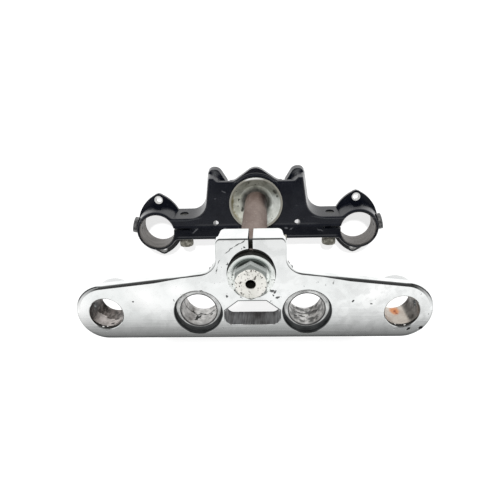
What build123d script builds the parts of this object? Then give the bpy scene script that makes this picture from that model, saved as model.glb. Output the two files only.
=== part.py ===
from build123d import *
import os
from math import cos, hypot, isclose, radians, sin, tan

# Motorcycle triple clamp: upper clamp, lower clamp, stem and fasteners.
# Frame: +Z runs up the steering stem, +Y points to the rear of the motorcycle, +X across the forks.
# The origin is on the steering axis, on the seat of the lower bearing. All sizes are in millimetres.

# Steering layout
fork_spacing = 242.0
fork_offset = 35.7
fork_diameter = 41.0
head_length = 192.5

# Upper clamp
arm_thickness = 6.0
rib_near = 19.0
rib_far = 52.0
block_depth = 21.0
block_top_width = 54.0
block_foot_width = 51.5
end_offset = 34.6
end_radius = 24.8
arm_slope = 6.7
arm_root_radius = 15.0
boss_width = 56.0
boss_reach = 30.0
boss_corner_radius = 4.5
plate_edge_radius = 1.5
hole_chamfer = 0.8
fork_hole_diameter = 27.9
fork_boss_diameter = 36.0
fork_boss_depth = 31.0
set_screw_diameter = 5.0
set_screw_drop = 14.5
slot_width = 3.6
stem_counterbore_diameter = 39.1
stem_counterbore_depth = 3.0

# Handlebar riser holes in the upper clamp
riser_spacing = 88.9
riser_offset = 34.9
riser_bore_diameter = 29.5
riser_counterbore_diameter = 39.1
riser_counterbore_depth = 4.0
riser_boss_diameter = 40.0
riser_boss_depth = 32.0

# Window between the riser holes
window_near = 24.5
window_shoulder = 33.3
window_far = 46.6
window_near_width = 22.8
window_width = 45.2
window_corner_radius = 6.0

# Lower clamp: a hollow casting whose walls spread towards the bottom
lower_depth = 30.0
draft_angle = 7.0
ring_wall = 3.9
ring_chamfer = 1.2
ring_blend_radius = 6.0
arm_front = -46.6
arm_rear = -20.0
arm_fillet_radius = 21.0
lower_edge_radius = 1.8
hub_radius = 32.5
stem_boss_diameter = 48.0
web_rear = 24.0
web_thickness = 5.0
web_blend_radius = 4.0

# Horns of the lower clamp
horn_base_width = 122.8
horn_top_width = 109.4
horn_height = 28.2
horn_land = 5.5
horn_corner_radius = 1.5
horn_inner_width = 84.0

# Cavity under the lower clamp
cavity_front = -40.0
cavity_rear = 48.0
cavity_width = 104.0
cavity_rear_width = 98.0
cavity_side_start = -12.0
cavity_side_end = 12.0
cavity_corner_radius = 4.0

# Nose behind the hub
nose_width = 50.8
nose_angle = 35.8
nose_radius = 13.3
nose_drop = 3.0
nose_thickness = 8.0
nose_root = 14.0
nose_foot_length = 5.0
nose_foot_radius = 10.0

# Steering stops at the bottom of the horns
stop_thickness = 10.0
stop_width = 115.4
stop_height = 35.8
stop_tip_width = 13.6
stop_slope = 59.0
stop_foot = 20.0
stop_root = 14.0
stop_outer_radius = 7.0
stop_inner_radius = 9.0

# Two-hole ears of the fork rings
ear_thickness = 4.0
ear_length = 80.6
ear_width = 56.2
ear_tip_radius = 7.5
ear_hole_spacing = 65.0
ear_hole_diameter = 7.4
ear_land_diameter = 12.0
ear_land_height = 0.8
ear_pocket_diameter = 19.0
ear_pocket_drop = 7.0

# Bracket holes in the lower clamp
bracket_spacing = 97.2
bracket_offset = 25.8
bracket_hole_diameter = 6.6

# Pinch slits and screws of the lower rings
slit_width = 2.6
slit_length = 22.0
pinch_inset = 8.1
pinch_diameter = 10.0
pinch_head_diameter = 16.0
pinch_head_height = 10.0
pinch_socket_width = 8.0
pinch_socket_depth = 5.0
pinch_washer_diameter = 18.0
pinch_washer_thickness = 2.5
pinch_end_recess = 0.8

# Side screws of the lower rings
side_screw_turn = 12.0
side_screw_drop = 11.0
side_screw_diameter = 8.0
side_head_diameter = 19.0
side_head_height = 4.6
side_slot_width = 2.2
side_slot_depth = 2.0
side_spot_depth = 0.8

# Upper pinch bolt
clamp_bolt_diameter = 8.0
clamp_bolt_head_diameter = 13.0
clamp_bolt_head_height = 8.0
clamp_bolt_socket_width = 6.0
clamp_bolt_socket_depth = 4.0
clamp_bolt_reach = 21.4
clamp_bolt_end_recess = 5.0

# Stem, dust shield, stem washer and stem bolt
stem_diameter = 25.4
stem_bore_diameter = 16.4
stem_foot_recess = 2.0
stem_top_gap = 1.0
shield_thickness = 1.5
shield_flat_diameter = 40.0
shield_diameter = 61.6
shield_height = 7.5
shield_lip = 1.6
washer_diameter = 37.5
washer_seat_height = 4.0
washer_rim_height = 6.0
washer_rim_width = 3.4
washer_seat_diameter = 28.0
bolt_diameter = 16.0
bolt_head_width = 24.0
bolt_head_height = 15.0
bolt_face_diameter = 22.6
bolt_chamfer_angle = 30.0
bolt_length = 46.0
bolt_hole_diameter = 8.0

# Hexagons of heads and sockets
hex_sides = 6
hex_turn = 30.0

# Clearances
screw_clearance = 0.2
head_clearance = 0.5

# Derived places
fork_x = fork_spacing / 2
fork_y = -fork_offset
fork_radius = fork_diameter / 2
upper_top = head_length
arm_bottom = upper_top - arm_thickness
block_bottom = upper_top - block_depth
lower_top = -shield_thickness
lower_bottom = lower_top - lower_depth
lower_middle = lower_top - lower_depth / 2
draft_reach = lower_depth * tan(radians(draft_angle))
ring_radius = fork_radius + ring_wall
side_seat_radius = ring_radius + side_screw_drop * tan(radians(draft_angle)) - side_spot_depth
stem_radius = stem_diameter / 2
clamp_bolt_z = upper_top - block_depth / 2
pinch_x = fork_x - ring_radius - pinch_inset
sides = {"left": -1, "right": 1}
fork_centres = [(-fork_x, fork_y), (fork_x, fork_y)]
riser_centres = [(-riser_spacing / 2, -riser_offset), (riser_spacing / 2, -riser_offset)]
bracket_centres = [(-bracket_spacing / 2, -bracket_offset), (bracket_spacing / 2, -bracket_offset)]
pinch_centres = [(-pinch_x, lower_middle), (pinch_x, lower_middle)]


def write_piece(piece, name):
    """Label a finished piece and write it to its own file."""
    piece.part.label = name
    export_step(piece.part, f"parts/{name}.step")


os.makedirs("parts", exist_ok=True)

# Upper clamp: one casting with a deep stem block, thin sloped arms and round bosses below them
with BuildPart() as upper_clamp:
    with BuildSketch(Plane.XZ.offset(-boss_reach)):
        with BuildLine():
            Polyline(
                (-block_top_width / 2, arm_bottom),
                (block_top_width / 2, arm_bottom),
                (block_foot_width / 2, block_bottom),
                (-block_foot_width / 2, block_bottom),
                close=True,
            )
        make_face()
    extrude(amount=boss_reach + end_offset + end_radius)
    block_edges = upper_clamp.faces().sort_by(Axis.Y)[-1].edges().sort_by(Axis.X)
    fillet([block_edges[0], block_edges[-1]], boss_corner_radius)
    with BuildSketch(Plane.XY.offset(arm_bottom)):
        with BuildLine():
            end_arc = CenterArc((fork_x, -end_offset), end_radius, -90, 180 - arm_slope)
            arm_tip = end_arc @ 1
            arm_root_y = arm_tip.Y + (arm_tip.X - boss_width / 2) * tan(radians(arm_slope))
            FilletPolyline(
                arm_tip,
                (boss_width / 2, arm_root_y),
                (boss_width / 2, boss_reach),
                (0, boss_reach),
                radius=[arm_root_radius, boss_corner_radius],
            )
            Polyline((0, boss_reach), (0, -end_offset - end_radius), end_arc @ 0)
        make_face()
        mirror(about=Plane.YZ)
    extrude(amount=arm_thickness)
    fillet(upper_clamp.faces().sort_by(Axis.Z)[-1].edges(), plate_edge_radius)

    # A rib, fork bosses and riser bosses stand out below the arms
    with BuildSketch(Plane.XY.offset(block_bottom)):
        with Locations((0, -(rib_near + rib_far) / 2)):
            Rectangle(fork_spacing, rib_far - rib_near)
    extrude(amount=block_depth - arm_thickness)
    with BuildSketch(Plane.XY.offset(upper_top - fork_boss_depth)):
        with Locations(*fork_centres):
            Circle(fork_boss_diameter / 2)
    extrude(amount=fork_boss_depth - arm_thickness)
    with BuildSketch(Plane.XY.offset(upper_top - riser_boss_depth)):
        with Locations(*riser_centres):
            Circle(riser_boss_diameter / 2)
    extrude(amount=riser_boss_depth - arm_thickness)

    # Fork holes run straight through
    with Locations(*[(x, y, upper_top) for x, y in fork_centres]):
        Hole(fork_hole_diameter / 2, depth=fork_boss_depth)

    # Riser holes with a counterbore for the damping bush
    with Locations(*[(x, y, upper_top) for x, y in riser_centres]):
        CounterBoreHole(
            riser_bore_diameter / 2,
            riser_counterbore_diameter / 2,
            riser_counterbore_depth,
            depth=riser_boss_depth,
        )

    # Window between the riser holes
    with BuildSketch(Plane.XY.offset(block_bottom)):
        with BuildLine():
            FilletPolyline(
                (0, -window_near),
                (window_near_width / 2, -window_near),
                (window_width / 2, -window_shoulder),
                (window_width / 2, -window_far),
                (0, -window_far),
                radius=[window_corner_radius / 4, window_corner_radius / 2, window_corner_radius],
            )
            Line((0, -window_far), (0, -window_near))
        make_face()
        mirror(about=Plane.YZ)
    extrude(amount=block_depth, mode=Mode.SUBTRACT)

    # Stem bore with its counterbore, and the slot that lets the boss close
    with Locations((0, 0, upper_top)):
        CounterBoreHole(
            stem_radius,
            stem_counterbore_diameter / 2,
            stem_counterbore_depth,
            depth=block_depth,
        )
    with BuildSketch(Plane.XY.offset(block_bottom)):
        with Locations((0, boss_reach / 2)):
            Rectangle(slot_width, boss_reach)
    extrude(amount=block_depth, mode=Mode.SUBTRACT)

    # Cross hole of the pinch bolt, with a recess for its head
    with BuildSketch(Plane.YZ.offset(-boss_width / 2)):
        with Locations((clamp_bolt_reach, clamp_bolt_z)):
            Circle(clamp_bolt_diameter / 2 + screw_clearance)
    extrude(amount=boss_width, mode=Mode.SUBTRACT)
    with BuildSketch(Plane.YZ.offset(boss_width / 2 - clamp_bolt_head_height)):
        with Locations((clamp_bolt_reach, clamp_bolt_z)):
            Circle(clamp_bolt_head_diameter / 2 + head_clearance)
    extrude(amount=clamp_bolt_head_height, mode=Mode.SUBTRACT)

    # Set screw hole through the outer wall of each fork boss
    for side in sides.values():
        with BuildSketch(Plane.YZ.offset(side * fork_x)):
            with Locations((fork_y, upper_top - set_screw_drop)):
                Circle(set_screw_diameter / 2)
        extrude(amount=side * end_radius, mode=Mode.SUBTRACT)

    rim_radii = (fork_hole_diameter / 2, riser_counterbore_diameter / 2)
    hole_rims = [
        rim
        for rim in upper_clamp.edges().filter_by(GeomType.CIRCLE)
        if isclose(rim.arc_center.Z, upper_top)
        and any(isclose(rim.radius, radius) for radius in rim_radii)
        and hypot(rim.arc_center.X, rim.arc_center.Y) > stem_radius
    ]
    chamfer(hole_rims, hole_chamfer)
write_piece(upper_clamp, "upper_clamp")

# Lower clamp: one hollow casting with a round hub, arms, two horns and a ring for each fork
with BuildPart() as lower_clamp:
    with BuildSketch(Plane.XY.offset(lower_top)) as lower_outline:
        with BuildLine():
            horn_tip = horn_top_width / 2 - horn_land
            FilletPolyline(
                (fork_x, arm_rear),
                (horn_base_width / 2, arm_rear),
                (horn_top_width / 2, horn_height),
                (horn_tip, horn_height),
                (horn_tip - horn_height + web_rear, web_rear),
                (0, web_rear),
                radius=[arm_fillet_radius, horn_corner_radius, horn_corner_radius, web_blend_radius],
            )
            Polyline((0, web_rear), (0, arm_front), (fork_x, arm_front), (fork_x, arm_rear))
        make_face()
        mirror(about=Plane.YZ)
        with Locations(*fork_centres):
            Circle(ring_radius)
        ring_joints = [
            corner
            for corner in lower_outline.vertices()
            if isclose(hypot(fork_x - abs(corner.X), fork_y - corner.Y), ring_radius)
            and abs(corner.X) < fork_x
        ]
        fillet(ring_joints, ring_blend_radius)
    extrude(amount=-lower_depth, taper=-draft_angle)

    # Cavity under the web, open to the rear between the horns
    with BuildSketch(Plane.XY.offset(lower_bottom)):
        with BuildLine():
            FilletPolyline(
                (0, cavity_front),
                (cavity_width / 2, cavity_front),
                (cavity_width / 2, cavity_side_start),
                (cavity_rear_width / 2, cavity_side_end),
                (horn_inner_width / 2, stop_root),
                (horn_inner_width / 2, cavity_rear),
                (0, cavity_rear),
                radius=cavity_corner_radius,
            )
            Line((0, cavity_rear), (0, cavity_front))
        make_face()
        mirror(about=Plane.YZ)
    extrude(amount=lower_depth - web_thickness, mode=Mode.SUBTRACT)

    # Hub plate, and below it the boss that holds the stem
    with BuildSketch(Plane.XY.offset(lower_top - web_thickness)):
        Circle(hub_radius)
    extrude(amount=web_thickness)
    fillet(lower_clamp.faces().sort_by(Axis.Z)[-1].outer_wire().edges(), lower_edge_radius)
    with BuildSketch(Plane.XY.offset(lower_bottom)):
        Circle(stem_boss_diameter / 2)
    extrude(amount=lower_depth)

    # Nose behind the hub, a step below its top
    with BuildSketch(Plane.XY.offset(lower_top - nose_drop - nose_thickness)):
        with BuildLine():
            nose_peak = web_rear + nose_width / 2 * tan(radians(nose_angle))
            nose_foot = nose_width / 2 + nose_foot_length
            FilletPolyline(
                (-nose_foot, web_rear),
                (-nose_width / 2, web_rear),
                (0, nose_peak),
                (nose_width / 2, web_rear),
                (nose_foot, web_rear),
                radius=[nose_foot_radius, nose_radius, nose_foot_radius],
            )
            Polyline(
                (nose_foot, web_rear),
                (nose_foot, nose_root),
                (-nose_foot, nose_root),
                (-nose_foot, web_rear),
            )
        make_face()
    extrude(amount=nose_thickness)

    # Steering stops: taller tips at the bottom of the horns
    with BuildSketch(Plane.XY.offset(lower_bottom)):
        with BuildLine():
            stop_tip = stop_width / 2 - stop_tip_width
            stop_inner = stop_tip - (stop_height - stop_foot) / tan(radians(stop_slope))
            FilletPolyline(
                (stop_width / 2, stop_root),
                (stop_width / 2, stop_height),
                (stop_tip, stop_height),
                (stop_inner, stop_foot),
                radius=[stop_outer_radius, stop_inner_radius],
            )
            Polyline((stop_inner, stop_foot), (stop_inner, stop_root), (stop_width / 2, stop_root))
        make_face()
        mirror(about=Plane.YZ)
    extrude(amount=stop_thickness, taper=draft_angle)

    # Thin pointed ears under the rings, with a pocket and a raised land at each hole
    ear_holes = [
        (side * fork_x, fork_y + end * ear_hole_spacing / 2)
        for side in sides.values()
        for end in (-1, 1)
    ]
    with BuildSketch(Plane.XY.offset(lower_bottom)):
        for side in sides.values():
            ear_rear = (side * fork_x, fork_y + ear_length / 2)
            ear_front = (side * fork_x, fork_y - ear_length / 2)
            with BuildLine():
                ThreePointArc(ear_rear, (side * fork_x + ear_width / 2, fork_y), ear_front)
                ThreePointArc(ear_front, (side * fork_x - ear_width / 2, fork_y), ear_rear)
            make_face()
        with Locations(*ear_holes):
            Circle(ear_tip_radius)
    extrude(amount=ear_thickness)
    with BuildSketch(Plane.XY.offset(lower_bottom + ear_thickness)):
        with Locations(*ear_holes):
            Circle(ear_pocket_diameter / 2)
    extrude(amount=lower_depth - ear_thickness - ear_pocket_drop, mode=Mode.SUBTRACT)
    with BuildSketch(Plane.XY.offset(lower_bottom + ear_thickness)):
        with Locations(*ear_holes):
            Circle(ear_land_diameter / 2)
    extrude(amount=ear_land_height)
    with BuildSketch(Plane.XY.offset(lower_bottom)):
        with Locations(*ear_holes):
            Circle(ear_hole_diameter / 2)
    extrude(amount=ear_thickness + ear_land_height, mode=Mode.SUBTRACT)

    # Fork bores, stem bore and bracket holes
    with Locations(*[(x, y, lower_top) for x, y in fork_centres]):
        Hole(fork_radius, depth=lower_depth)
    with Locations((0, 0, lower_top)):
        Hole(stem_radius, depth=lower_depth)
    with Locations(*[(x, y, lower_top) for x, y in bracket_centres]):
        Hole(bracket_hole_diameter / 2, depth=web_thickness)

    # Pinch slits from each bore towards the stem
    slit_end = fork_radius + slit_length
    with BuildSketch(Plane.XY.offset(lower_bottom)):
        for side in sides.values():
            with Locations((side * (fork_x - slit_end / 2), (arm_front + arm_rear) / 2)):
                Rectangle(slit_end, slit_width)
    extrude(amount=lower_depth, mode=Mode.SUBTRACT)

    # Cross holes of the pinch screws, each with a flat seat and room for its head in the sloped front
    with BuildSketch(Plane.XZ.offset(-arm_front)):
        with Locations(*pinch_centres):
            Circle(pinch_diameter / 2 + screw_clearance)
    extrude(amount=arm_front - arm_rear - draft_reach, mode=Mode.SUBTRACT)
    with BuildSketch(Plane.XZ.offset(-arm_front)):
        with Locations(*pinch_centres):
            Circle(pinch_washer_diameter / 2 + head_clearance)
    extrude(amount=pinch_washer_thickness + pinch_head_height, mode=Mode.SUBTRACT)

    # Threaded holes of the side screws, each with a flat seat for its head
    for side in sides.values():
        screw_out = Vector(side * cos(radians(side_screw_turn)), sin(radians(side_screw_turn)), 0)
        ring_centre = Vector(side * fork_x, fork_y, lower_top - side_screw_drop)
        with BuildSketch(Plane(ring_centre, z_dir=screw_out)):
            Circle(side_screw_diameter / 2 + screw_clearance)
        extrude(amount=side_seat_radius, mode=Mode.SUBTRACT)
        with BuildSketch(Plane(ring_centre + screw_out * side_seat_radius, z_dir=screw_out)):
            Circle(side_head_diameter / 2 + head_clearance)
        extrude(amount=side_head_height, mode=Mode.SUBTRACT)

    bore_rims = [
        rim
        for rim in lower_clamp.edges().filter_by(GeomType.CIRCLE)
        if isclose(rim.radius, fork_radius)
        and abs(rim.center().Z - lower_middle) > lower_depth / 2 - ring_chamfer
    ]
    chamfer(bore_rims, ring_chamfer)
write_piece(lower_clamp, "lower_clamp")

# Steering stem: a steel tube pressed into the hub
with BuildPart() as steering_stem:
    stem_foot = lower_bottom + stem_foot_recess
    stem_height = upper_top - stem_counterbore_depth - stem_top_gap - stem_foot
    with BuildSketch(Plane.XY.offset(stem_foot)):
        Circle(stem_radius)
        Circle(stem_bore_diameter / 2, mode=Mode.SUBTRACT)
    extrude(amount=stem_height)
write_piece(steering_stem, "steering_stem")

# Dust shield: a pressed washer whose rim stands up round the bearing
with BuildPart() as dust_shield:
    with BuildSketch(Plane.XZ):
        with BuildLine():
            Polyline(
                (stem_radius, -shield_thickness),
                (shield_flat_diameter / 2, -shield_thickness),
                (shield_diameter / 2, shield_height - shield_lip),
                (shield_diameter / 2, shield_height),
                (shield_diameter / 2 - shield_lip, shield_height),
                (shield_flat_diameter / 2, 0),
                (stem_radius, 0),
                close=True,
            )
        make_face()
    revolve(axis=Axis.Z)
write_piece(dust_shield, "dust_shield")

# Stem washer: thick and dished, with a flat seat for the bolt head
with BuildPart() as stem_washer:
    with BuildSketch(Plane.XZ):
        with BuildLine():
            Polyline(
                (bolt_diameter / 2 + screw_clearance, upper_top - stem_counterbore_depth),
                (washer_diameter / 2, upper_top - stem_counterbore_depth),
                (washer_diameter / 2, upper_top + washer_rim_height),
                (washer_diameter / 2 - washer_rim_width, upper_top + washer_rim_height),
                (washer_seat_diameter / 2, upper_top + washer_seat_height),
                (bolt_diameter / 2 + screw_clearance, upper_top + washer_seat_height),
                close=True,
            )
        make_face()
    revolve(axis=Axis.Z)
write_piece(stem_washer, "stem_washer")

# Stem bolt: chamfered hex head, drilled through
with BuildPart() as stem_bolt:
    bolt_seat = upper_top + washer_seat_height
    bolt_face = bolt_seat + bolt_head_height
    corner_radius = bolt_head_width / 2 / cos(radians(hex_turn))
    chamfer_drop = (corner_radius - bolt_face_diameter / 2) * tan(radians(bolt_chamfer_angle))
    with BuildSketch(Plane.XY.offset(bolt_seat)):
        RegularPolygon(bolt_head_width / 2, hex_sides, major_radius=False, rotation=hex_turn)
    extrude(amount=bolt_head_height)
    with BuildSketch(Plane.XZ):
        with BuildLine():
            Polyline(
                (0, bolt_seat),
                (corner_radius, bolt_seat),
                (corner_radius, bolt_face - chamfer_drop),
                (bolt_face_diameter / 2, bolt_face),
                (0, bolt_face),
                close=True,
            )
        make_face()
    revolve(axis=Axis.Z, mode=Mode.INTERSECT)
    with BuildSketch(Plane.XY.offset(bolt_seat)):
        Circle(bolt_diameter / 2)
    extrude(amount=-bolt_length)
    with Locations((0, 0, bolt_face)):
        Hole(bolt_hole_diameter / 2, depth=bolt_head_height + bolt_length)
write_piece(stem_bolt, "stem_bolt")

# Upper pinch bolt: its head sits in the side of the boss
with BuildPart() as upper_pinch_bolt:
    clamp_head_seat = boss_width / 2 - clamp_bolt_head_height
    with BuildSketch(Plane.YZ.offset(clamp_head_seat)):
        with Locations((clamp_bolt_reach, clamp_bolt_z)):
            Circle(clamp_bolt_head_diameter / 2)
    extrude(amount=clamp_bolt_head_height)
    with BuildSketch(Plane.YZ.offset(clamp_head_seat)):
        with Locations((clamp_bolt_reach, clamp_bolt_z)):
            Circle(clamp_bolt_diameter / 2)
    extrude(amount=clamp_bolt_end_recess - boss_width / 2 - clamp_head_seat)
    with BuildSketch(Plane.YZ.offset(boss_width / 2 - clamp_bolt_socket_depth)):
        with Locations((clamp_bolt_reach, clamp_bolt_z)):
            RegularPolygon(clamp_bolt_socket_width / 2, hex_sides, major_radius=False)
    extrude(amount=clamp_bolt_socket_depth, mode=Mode.SUBTRACT)
write_piece(upper_pinch_bolt, "upper_pinch_bolt")

for name, side in sides.items():
    # Pinch screw of a lower ring: enters from the front and ends just below the rear face of the arm
    with BuildPart() as pinch_bolt:
        pinch_seat = arm_front - pinch_washer_thickness
        with BuildSketch(Plane.XZ.offset(-pinch_seat)):
            with Locations((side * pinch_x, lower_middle)):
                Circle(pinch_head_diameter / 2)
        extrude(amount=pinch_head_height)
        with BuildSketch(Plane.XZ.offset(-pinch_seat)):
            with Locations((side * pinch_x, lower_middle)):
                Circle(pinch_diameter / 2)
        extrude(amount=pinch_seat - arm_rear - draft_reach / 2 + pinch_end_recess)
        with BuildSketch(Plane.XZ.offset(pinch_head_height - pinch_seat - pinch_socket_depth)):
            with Locations((side * pinch_x, lower_middle)):
                RegularPolygon(pinch_socket_width / 2, hex_sides, major_radius=False)
        extrude(amount=pinch_socket_depth, mode=Mode.SUBTRACT)
    write_piece(pinch_bolt, f"{name}_pinch_bolt")

    # Washer under the head of that screw
    with BuildPart() as pinch_washer:
        with BuildSketch(Plane.XZ.offset(-arm_front)):
            with Locations((side * pinch_x, lower_middle)):
                Circle(pinch_washer_diameter / 2)
                Circle(pinch_diameter / 2 + screw_clearance, mode=Mode.SUBTRACT)
        extrude(amount=pinch_washer_thickness)
    write_piece(pinch_washer, f"{name}_pinch_washer")

    # Side screw of that ring: low round head with a driver slot
    with BuildPart() as side_screw:
        screw_out = Vector(side * cos(radians(side_screw_turn)), sin(radians(side_screw_turn)), 0)
        ring_centre = Vector(side * fork_x, fork_y, lower_top - side_screw_drop)
        head_seat = Plane(ring_centre + screw_out * side_seat_radius, z_dir=screw_out)
        with BuildSketch(head_seat):
            Circle(side_head_diameter / 2)
        extrude(amount=side_head_height)
        with BuildSketch(head_seat):
            Circle(side_screw_diameter / 2)
        extrude(amount=fork_radius - side_seat_radius)
        with BuildSketch(head_seat.offset(side_head_height - side_slot_depth)):
            Rectangle(side_head_diameter, side_slot_width)
        extrude(amount=side_slot_depth, mode=Mode.SUBTRACT)
    write_piece(side_screw, f"{name}_side_screw")
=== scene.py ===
# %% [markdown]
# # A motorcycle triple clamp, dressed for its portrait
# Two clamps hold the fork legs of a motorcycle and turn together on one steel stem. The solids are exact
# already, so this lesson leaves their shapes alone and gives them what a used part has: polish that has
# gone cloudy, black paint with scuffs, thin rust on the stem and grime in the bores.
# The first cell loads the imported solids as a fixed frame and keeps their box, whose bottom sets the floor.

# %% Load the solids
import math

import bmesh
import bpy
from mathutils import Matrix, Vector


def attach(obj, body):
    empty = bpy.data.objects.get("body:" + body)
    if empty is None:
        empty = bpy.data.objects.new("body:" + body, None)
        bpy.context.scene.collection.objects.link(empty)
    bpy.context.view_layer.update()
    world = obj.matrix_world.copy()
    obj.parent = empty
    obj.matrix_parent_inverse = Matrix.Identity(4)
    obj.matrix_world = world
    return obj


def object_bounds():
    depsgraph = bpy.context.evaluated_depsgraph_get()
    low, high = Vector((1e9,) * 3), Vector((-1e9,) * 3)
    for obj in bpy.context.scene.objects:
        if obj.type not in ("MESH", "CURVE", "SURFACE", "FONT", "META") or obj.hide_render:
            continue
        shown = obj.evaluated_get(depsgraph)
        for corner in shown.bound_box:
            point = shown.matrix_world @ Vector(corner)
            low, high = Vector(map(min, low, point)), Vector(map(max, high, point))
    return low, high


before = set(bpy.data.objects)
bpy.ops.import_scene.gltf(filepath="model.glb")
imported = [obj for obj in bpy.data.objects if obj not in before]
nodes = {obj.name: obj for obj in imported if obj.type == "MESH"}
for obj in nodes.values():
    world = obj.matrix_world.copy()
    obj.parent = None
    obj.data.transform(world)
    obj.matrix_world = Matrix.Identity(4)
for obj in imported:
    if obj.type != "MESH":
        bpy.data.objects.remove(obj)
solids_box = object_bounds()
floor_height = solids_box[0].z
print("solids", len(nodes), "floor at", round(floor_height, 4))

# %% [markdown]
# ## Camera
# The photograph looks down the stem from above and behind, so the upper clamp is near and the lower clamp
# is far. A camera could be aimed at a target, but three small turns and a place describe this view exactly.
# The focal length gives the same narrowing from near to far.

# %% Camera
camera_place = Vector((0.01351, 0.15797, 0.52099))
camera_roll, camera_tilt, camera_pan = 0.0298, 0.3969, -0.0426
camera_data = bpy.data.cameras.new("portrait_camera")
camera_data.sensor_width = 36.0
camera_data.lens = 33.34
camera = bpy.data.objects.new("portrait_camera", camera_data)
bpy.context.scene.collection.objects.link(camera)
look = (
    Matrix.Rotation(camera_roll, 3, "Z")
    @ Matrix.Rotation(camera_tilt, 3, "X")
    @ Matrix.Rotation(camera_pan, 3, "Y")
)
camera.matrix_world = Matrix.Translation(camera_place) @ look.transposed().to_4x4()
bpy.context.scene.camera = camera
print("camera looks along", [round(value, 2) for value in look.row[2] * -1])

# %% [markdown]
# ## Floor
# The part stands on a white light table. It has to be bright, because the rear walls of both clamps mirror
# it: white in the polish and pale grey in the black paint. A white sheet under strong lamps would do too,
# but the table's own glow keeps the shadows light, as in the photograph.

# %% Floor
floor_half = 6.0
floor_corners = [(-1, -1), (1, -1), (1, 1), (-1, 1)]
floor_points = [(x * floor_half, y * floor_half, floor_height) for x, y in floor_corners]
floor_mesh = bpy.data.meshes.new("floor")
floor_mesh.from_pydata(floor_points, [], [(0, 1, 2, 3)])
floor = bpy.data.objects.new("floor", floor_mesh)
bpy.context.scene.collection.objects.link(floor)
light_table = bpy.data.materials.new("light_table")
light_table.use_nodes = True
table_top = light_table.node_tree.nodes["Principled BSDF"]
table_top.inputs["Base Color"].default_value = (0.36, 0.36, 0.36, 1)
table_top.inputs["Roughness"].default_value = 0.9
table_top.inputs["Specular IOR Level"].default_value = 0.1
table_top.inputs["Emission Color"].default_value = (1, 1, 1, 1)
table_top.inputs["Emission Strength"].default_value = 0.74
floor_mesh.materials.append(light_table)
print("floor", 2 * floor_half, "m wide")

# %% [markdown]
# ## Sun
# One soft light from the rear, close to the camera's own direction, lights the table and hides most shadows
# behind the part. A lamp nearby would favour the near clamp, and a sun is even everywhere. It stays out of
# the mirrored picture, where it would be one hard spot.

# %% Sun
sun_lean = math.radians(35.5)
sun_light = bpy.data.lights.new("rear_sun", "SUN")
sun_light.energy = 3.3
sun_light.angle = math.radians(5)
sun = bpy.data.objects.new("rear_sun", sun_light)
sun.rotation_euler = (-sun_lean, 0, 0)
sun.visible_glossy = False
bpy.context.scene.collection.objects.link(sun)
print("sun leans", round(math.degrees(sun_lean), 1), "degrees to the rear")

# %% [markdown]
# ## Tools for wiring
# The sky and every finish are small nets of nodes. They could be wired by hand in the node editor. These
# tools lay one node each instead, so that a finish reads like a recipe: one value joined with another,
# a value moved to a new range, one colour over another.

# %% Tools for wiring
def put(tree, source, socket):
    """Link a socket, or set a plain number."""
    if isinstance(source, (int, float)):
        socket.default_value = source
    else:
        tree.links.new(source, socket)


def join(tree, operation, first, second=0.0):
    """Two values, or a value and a number, put together."""
    node = tree.nodes.new("ShaderNodeMath")
    node.operation = operation
    put(tree, first, node.inputs[0])
    put(tree, second, node.inputs[1])
    return node.outputs[0]


def ranged(tree, source, low, high, out_low=0.0, out_high=1.0):
    """A value moved from one range to another and kept inside it."""
    node = tree.nodes.new("ShaderNodeMapRange")
    node.inputs["From Min"].default_value = low
    node.inputs["From Max"].default_value = high
    node.inputs["To Min"].default_value = out_low
    node.inputs["To Max"].default_value = out_high
    tree.links.new(source, node.inputs["Value"])
    return node.outputs["Result"]


def axes_of(tree, at):
    """The three coordinates of a place or a direction."""
    node = tree.nodes.new("ShaderNodeSeparateXYZ")
    tree.links.new(at, node.inputs[0])
    return node.outputs


def tint(tree, share_of_second, first, second):
    """One colour over another; each is a colour socket or three numbers."""
    mix = tree.nodes.new("ShaderNodeMix")
    mix.data_type = "RGBA"
    tree.links.new(share_of_second, mix.inputs["Factor"])
    for socket, value in ((mix.inputs[6], first), (mix.inputs[7], second)):
        if isinstance(value, tuple):
            socket.default_value = (*value, 1)
        else:
            tree.links.new(value, socket)
    return mix.outputs[2]


print("wiring tools", [tool.__name__ for tool in (put, join, ranged, axes_of, tint)])

# %% [markdown]
# ## Sky
# Polished metal shows its surroundings, so the studio matters as much as the metal. The sky is a dark tent
# with one white strip in front. The flat top of the upper clamp mirrors just that strip, and the strip's end
# draws the grey fade along the front edge. The painted clamp below mirrors the dark part.
# Cards on stands could do this. A sky whose brightness depends only on its lean needs no objects,
# and every place on the part sees it alike.

# %% Sky tent
sky = bpy.data.worlds.new("studio_tent")
bpy.context.scene.world = sky
sky.use_nodes = True
tree = sky.node_tree
sky_x, sky_y, sky_z = axes_of(tree, tree.nodes.new("ShaderNodeTexCoord").outputs["Generated"])
tone = tree.nodes.new("ShaderNodeValToRGB")
put(tree, ranged(tree, join(tree, "ARCTAN2", sky_y, sky_z), -math.pi, math.pi), tone.inputs["Fac"])
# Lean of the sky from straight up, in degrees towards the rear, and how bright it is there
tent = [
    (-86, 0.95), (-72, 0.15), (-60, 0.04), (-36, 0.01), (-34, 0.02), (-33, 0.22), (-32, 0.5),
    (-31, 0.82), (-30, 1.06), (-26, 1.06), (-23, 0.93), (-21, 0.9), (-19.5, 0.06), (-10, 0.05),
    (10, 0.05), (22, 0.13), (58, 0.13), (72, 0.25), (84, 0.95),
]
stops = tone.color_ramp.elements
while len(stops) < len(tent):
    stops.new(0.5)
for stop, (degrees, bright) in zip(stops, tent):
    stop.position = (degrees + 180) / 360
    stop.color = (bright, bright, bright, 1)
print("sky stops", len(stops))

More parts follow.
